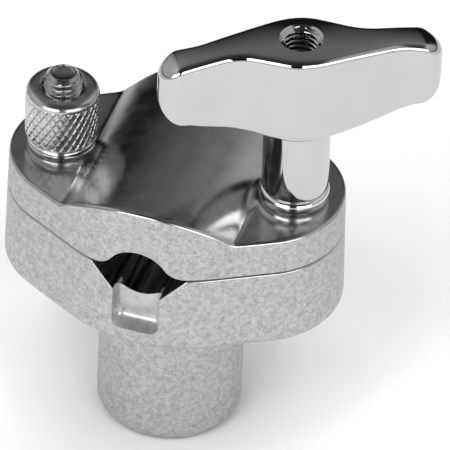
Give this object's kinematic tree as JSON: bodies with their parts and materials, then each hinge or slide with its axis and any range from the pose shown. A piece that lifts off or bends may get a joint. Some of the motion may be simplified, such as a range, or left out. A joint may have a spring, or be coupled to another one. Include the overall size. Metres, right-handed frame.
{
  "type": "v-jaw rod clamp",
  "caption": "Two-stud V-jaw rod clamp on a round spigot: cast body and lifting cast jaw, knurled nut on one stud, chromed T-handle on the other.",
  "frame": {"origin": "centre of the spigot's end face", "axes": "+Z along the spigot towards the jaws, +X from the knurled nut to the T-handle, -Y the face with the key slot; the clamped rod lies along Y"},
  "size_m": [0.0868, 0.0526, 0.1028],
  "materials": {
    "cast_alloy": "tumbled matte casting",
    "jaw_alloy": "tumbled sides, polished top",
    "stud_steel": "rolled thread, bright",
    "spring_steel": "drawn wire",
    "polished_steel": "polished",
    "nut_plating": "diamond knurl, bright plating",
    "handle_chrome": "mirror chrome"
  },
  "bodies": {
    "base": {"lower_body": "cast_alloy", "hinge_stud": "stud_steel", "clamp_stud": "stud_steel", "hinge_spring": "spring_steel", "clamp_spring": "spring_steel"},
    "jaw": {"upper_jaw": "jaw_alloy", "nut_ring": "polished_steel", "handle_washer": "polished_steel"},
    "nut": {"knurled_nut": "nut_plating"},
    "handle": {"t_handle": "handle_chrome"}
  },
  "joints": [
    {"name": "jaw_lift", "type": "slide", "parent": "base", "child": "jaw", "axis": [0, 0, 1], "range_m": [0, 0.0061], "deforming": ["hinge_spring", "clamp_spring"]},
    {"name": "handle_turn", "type": "hinge", "parent": "jaw", "child": "handle", "pos_m": [0.025, 0, 0.0616], "axis": [0, 0, 1], "range_deg": [0, 1728]},
    {"name": "nut_turn", "type": "hinge", "parent": "jaw", "child": "nut", "pos_m": [-0.025, 0, 0.0616], "axis": [0, 0, 1], "range_deg": [0, 1730]}
  ],
  "couplings": [
    {"joint": "jaw_lift", "follows": "handle_turn", "m_per_rad": 0.00019894},
    {"joint": "nut_turn", "follows": "handle_turn", "ratio": 1}
  ]
}
